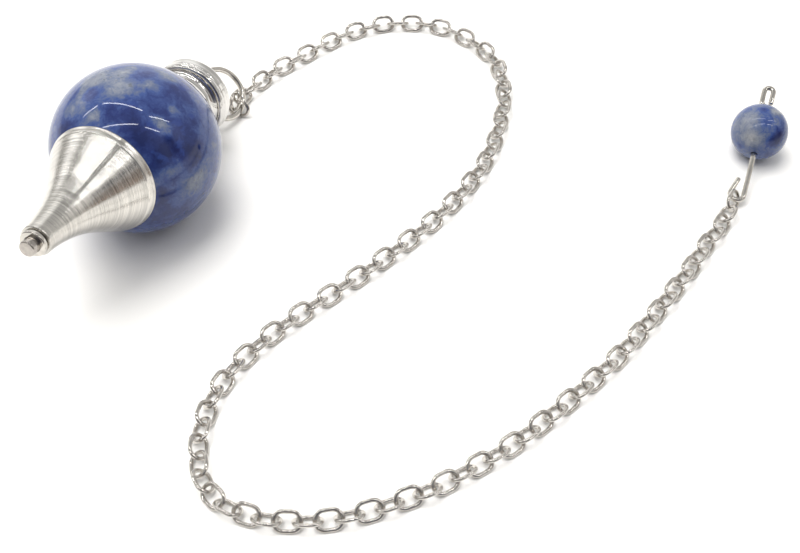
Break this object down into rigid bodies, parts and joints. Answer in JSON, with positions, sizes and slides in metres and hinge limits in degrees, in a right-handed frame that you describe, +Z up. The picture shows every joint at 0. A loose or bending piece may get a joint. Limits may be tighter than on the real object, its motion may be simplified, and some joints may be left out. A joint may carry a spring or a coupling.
{
  "type": "pendulum pendant",
  "caption": "Dowsing pendulum lying on its side: a polished stone ball with a turned metal nose and cap, on a fine link chain that ends in a small stone bead.",
  "frame": {"origin": "middle of the part's outline seen from above, on the surface it lies on", "axes": "+Z up; +X to the right of the picture, along the longer side of the outline; +Y away from the camera"},
  "size_m": [0.1134, 0.1014, 0.025],
  "materials": {
    "ball_stone": "polished, deep blue with grey-white clouds and veins",
    "bead_stone": "polished, blue with a grey patch",
    "turned_metal": "fine turning marks around the axis",
    "cap_metal": "polished with fine turned lines",
    "polished_metal": "polished",
    "chain_metal": "polished"
  },
  "bodies": {
    "root": {"stone_ball": "ball_stone", "center_rod": "polished_metal", "nose_cone": "turned_metal", "nose_collar": "polished_metal", "top_cap": "cap_metal", "jump_ring": "polished_metal", "chain_upper": "chain_metal", "chain_lower": "chain_metal", "bead_pin": "polished_metal", "end_bead": "bead_stone"}
  },
  "joints": []
}
